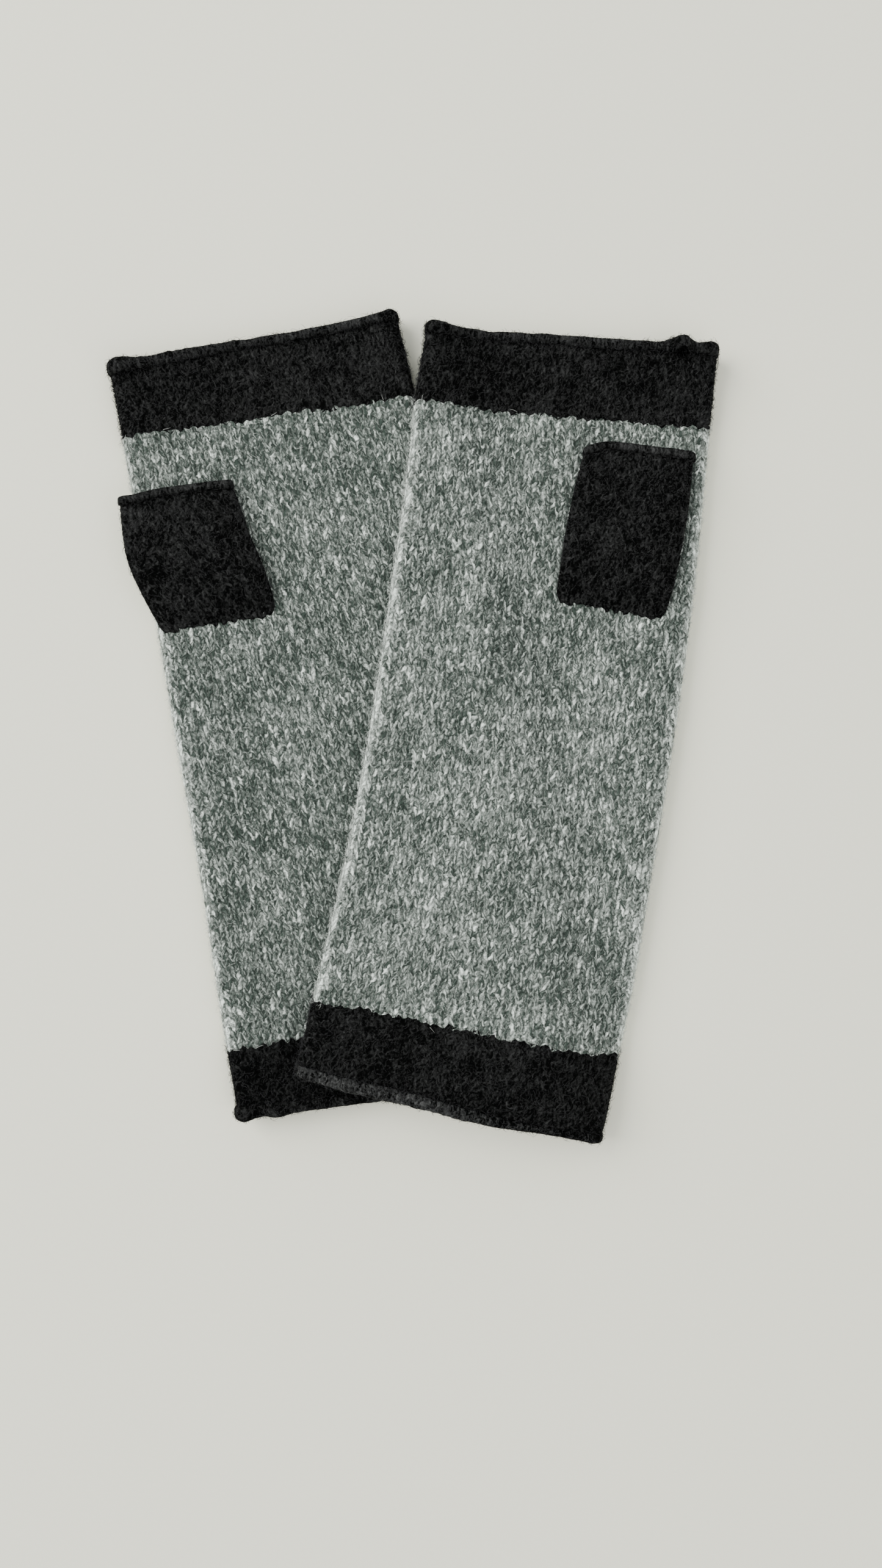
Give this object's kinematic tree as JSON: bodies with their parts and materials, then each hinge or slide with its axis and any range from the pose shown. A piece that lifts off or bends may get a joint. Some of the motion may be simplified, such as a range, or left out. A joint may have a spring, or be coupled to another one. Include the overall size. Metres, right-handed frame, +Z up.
{
  "type": "fingerless gloves",
  "caption": "Pair of knitted fingerless gloves lying flat, one over the other: marl hand tubes with charcoal finger cuffs, wrist cuffs and thumb tubes, all with rolled edges.",
  "frame": {"origin": "centre of the pair's bounding box, at the table that it lies on", "axes": "+Y towards the finger ends, +X from the left glove to the right one, +Z up from the table"},
  "size_m": [0.1851, 0.2489, 0.023],
  "materials": {
    "marl_knit": "stocking stitch in white and grey-green marl wool, slightly fuzzy, fully matt",
    "charcoal_knit": "stocking stitch in charcoal heather wool, slightly fuzzy, fully matt",
    "seam_yarn": "pale wool yarn, matt"
  },
  "bodies": {
    "left_glove": {"left_hand_tube": "marl_knit", "left_finger_cuff": "charcoal_knit", "left_finger_edge_roll": "charcoal_knit", "left_wrist_cuff": "charcoal_knit", "left_wrist_edge_roll": "charcoal_knit", "left_side_seam": "seam_yarn", "left_thumb_seam": "charcoal_knit"},
    "left_thumb": {"left_thumb_tube": "charcoal_knit", "left_thumb_rim_roll": "charcoal_knit"},
    "right_glove": {"right_hand_tube": "marl_knit", "right_finger_cuff": "charcoal_knit", "right_finger_edge_roll": "charcoal_knit", "right_wrist_cuff": "charcoal_knit", "right_wrist_edge_roll": "charcoal_knit", "right_side_seam": "seam_yarn", "right_thumb_seam": "charcoal_knit"},
    "right_thumb": {"right_thumb_tube": "charcoal_knit", "right_thumb_rim_roll": "charcoal_knit"}
  },
  "joints": [
    {"name": "right_glove_lift", "type": "slide", "parent": "left_glove", "child": "right_glove", "axis": [0, 0, 1], "range_m": [0, 0.1]},
    {"name": "left_thumb_fold", "type": "hinge", "parent": "left_glove", "child": "left_thumb", "pos_m": [-0.05767, 0.03013, 0.0083], "axis": [0.9744, 0.225, 0], "range_deg": [0, 80]},
    {"name": "right_thumb_fold", "type": "hinge", "parent": "right_glove", "child": "right_thumb", "pos_m": [0.05853, 0.03411, 0.0083], "axis": [0.9848, -0.1736, 0], "range_deg": [0, 80]}
  ]
}
